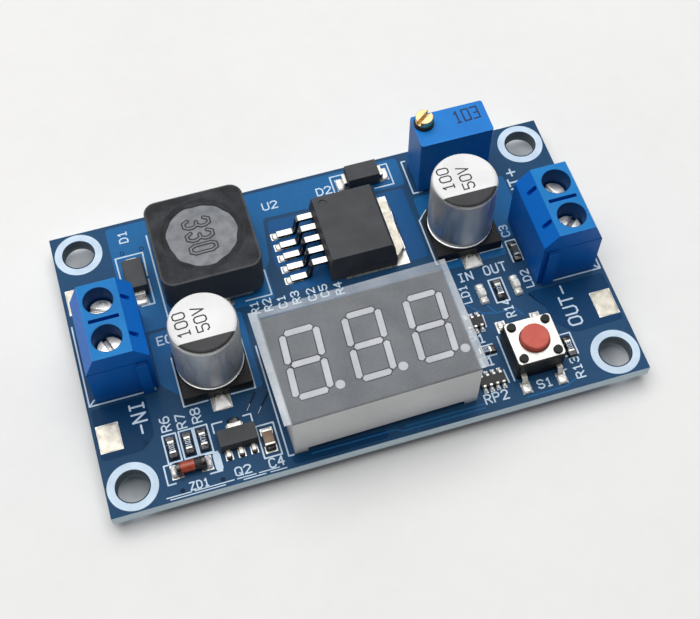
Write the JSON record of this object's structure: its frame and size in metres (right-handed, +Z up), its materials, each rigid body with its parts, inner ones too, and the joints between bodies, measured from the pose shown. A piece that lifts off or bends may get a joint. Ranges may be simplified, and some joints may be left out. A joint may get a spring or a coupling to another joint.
{
  "type": "boost converter module",
  "caption": "Blue circuit board with screw terminals, shielded inductor, can capacitors, regulator, trimmer, push button and a small digit display; raises a DC voltage.",
  "frame": {"origin": "centre of the board's underside, between the four fixing holes", "axes": "+Z up out of the board's component side, +X along the long side to the output terminal, +Y to the edge with the trimmer"},
  "size_m": [0.066, 0.039, 0.0145],
  "materials": {
    "board": "glossy solder mask on glass-filled laminate",
    "print_white": "screen print",
    "tin": "tinned copper and solder",
    "terminal_blue": "moulded, satin",
    "steel": "zinc plated",
    "can": "bright drawn can with a lacquered top",
    "black_plastic": "moulded resin",
    "chip_black": "glazed",
    "ferrite": "pressed ferrite, matt",
    "copper": "enamelled copper wire",
    "display_grey": "moulded, with a printed face",
    "segment": "frosted resin",
    "resin": "potting resin",
    "film": "clear protective film",
    "trimmer_blue": "moulded, satin",
    "brass": "turned",
    "ceramic": "ceramic and moulded nylon",
    "button_red": "moulded, satin",
    "red_glass": "glass",
    "chip_tan": "fired ceramic",
    "led": "clear resin"
  },
  "bodies": {
    "module": {"board": "board", "fixing_rings": "print_white", "solder_pads": "tin", "solder_joints": "tin", "input_housing": "terminal_blue", "input_contacts": "tin", "output_housing": "terminal_blue", "output_contacts": "tin", "input_can": "can", "output_can": "can", "can_bases": "black_plastic", "can_leads": "tin", "inductor_shield": "ferrite", "inductor_core": "ferrite", "inductor_winding": "copper", "inductor_clips": "tin", "regulator_body": "black_plastic", "regulator_tab": "tin", "regulator_leads": "tin", "diode_bodies": "black_plastic", "diode_leads": "tin", "display_housing": "display_grey", "display_segments": "segment", "display_filling": "resin", "display_pins": "tin", "display_film": "film", "trimmer_body": "trimmer_blue", "trimmer_seal": "black_plastic", "trimmer_element": "ceramic", "trimmer_pins": "tin", "button_base": "black_plastic", "button_cover": "steel", "button_dome": "steel", "button_legs": "tin", "transistor_body": "black_plastic", "transistor_leads": "tin", "glass_diode": "red_glass", "glass_diode_caps": "tin", "chip_resistors": "chip_black", "chip_capacitors": "chip_tan", "resistor_arrays": "chip_black", "indicator_leds": "led", "chip_ends": "tin", "meter_chip": "black_plastic", "meter_chip_leads": "tin"},
    "input_plus_leaf_body": {"input_plus_guard": "steel"},
    "input_plus_screw_body": {"input_plus_screw": "steel"},
    "input_minus_leaf_body": {"input_minus_guard": "steel"},
    "input_minus_screw_body": {"input_minus_screw": "steel"},
    "output_plus_leaf_body": {"output_plus_guard": "steel"},
    "output_plus_screw_body": {"output_plus_screw": "steel"},
    "output_minus_leaf_body": {"output_minus_guard": "steel"},
    "output_minus_screw_body": {"output_minus_screw": "steel"},
    "adjuster_body": {"trimmer_screw": "brass"},
    "wiper_body": {"trimmer_wheel": "ceramic"},
    "key_body": {"button_cap": "button_red"}
  },
  "joints": [
    {"name": "input_plus_rise", "type": "slide", "parent": "module", "child": "input_plus_leaf_body", "axis": [0, 0, 1], "range_m": [0, 0.00225]},
    {"name": "input_plus_turn", "type": "hinge", "parent": "input_plus_leaf_body", "child": "input_plus_screw_body", "pos_m": [-0.02825, 0.00289, 0.006], "axis": [0, 0, 1], "range_deg": [-1, 1801]},
    {"name": "input_minus_rise", "type": "slide", "parent": "module", "child": "input_minus_leaf_body", "axis": [0, 0, 1], "range_m": [0, 0.00225]},
    {"name": "input_minus_turn", "type": "hinge", "parent": "input_minus_leaf_body", "child": "input_minus_screw_body", "pos_m": [-0.02825, -0.00219, 0.006], "axis": [0, 0, 1], "range_deg": [-1, 1801]},
    {"name": "output_plus_rise", "type": "slide", "parent": "module", "child": "output_plus_leaf_body", "axis": [0, 0, 1], "range_m": [0, 0.00225]},
    {"name": "output_plus_turn", "type": "hinge", "parent": "output_plus_leaf_body", "child": "output_plus_screw_body", "pos_m": [0.02825, 0.00309, 0.006], "axis": [0, 0, 1], "range_deg": [-1, 1801]},
    {"name": "output_minus_rise", "type": "slide", "parent": "module", "child": "output_minus_leaf_body", "axis": [0, 0, 1], "range_m": [0, 0.00225]},
    {"name": "output_minus_turn", "type": "hinge", "parent": "output_minus_leaf_body", "child": "output_minus_screw_body", "pos_m": [0.02825, -0.00199, 0.006], "axis": [0, 0, 1], "range_deg": [-1, 1801]},
    {"name": "adjuster_turn", "type": "hinge", "parent": "module", "child": "adjuster_body", "pos_m": [0.0157, 0.0161, 0.012], "axis": [0, 0, 1], "range_deg": [-4500, 4500]},
    {"name": "wiper_turn", "type": "hinge", "parent": "module", "child": "wiper_body", "pos_m": [0.01945, 0.0161, 0.0066], "axis": [0, 1, 0], "range_deg": [-151, 151]},
    {"name": "button_press", "type": "slide", "parent": "module", "child": "key_body", "axis": [0, 0, -1], "range_m": [0, 0.00025], "stiffness_N_per_m": 6000, "springref_m": -0.00005, "deforming": ["button_dome"]}
  ],
  "couplings": [
    {"joint": "input_plus_turn", "follows": "input_plus_rise", "rad_per_m": 13963},
    {"joint": "input_minus_turn", "follows": "input_minus_rise", "rad_per_m": 13963},
    {"joint": "output_plus_turn", "follows": "output_plus_rise", "rad_per_m": 13963},
    {"joint": "output_minus_turn", "follows": "output_minus_rise", "rad_per_m": 13963},
    {"joint": "wiper_turn", "follows": "adjuster_turn", "ratio": -0.033333}
  ]
}
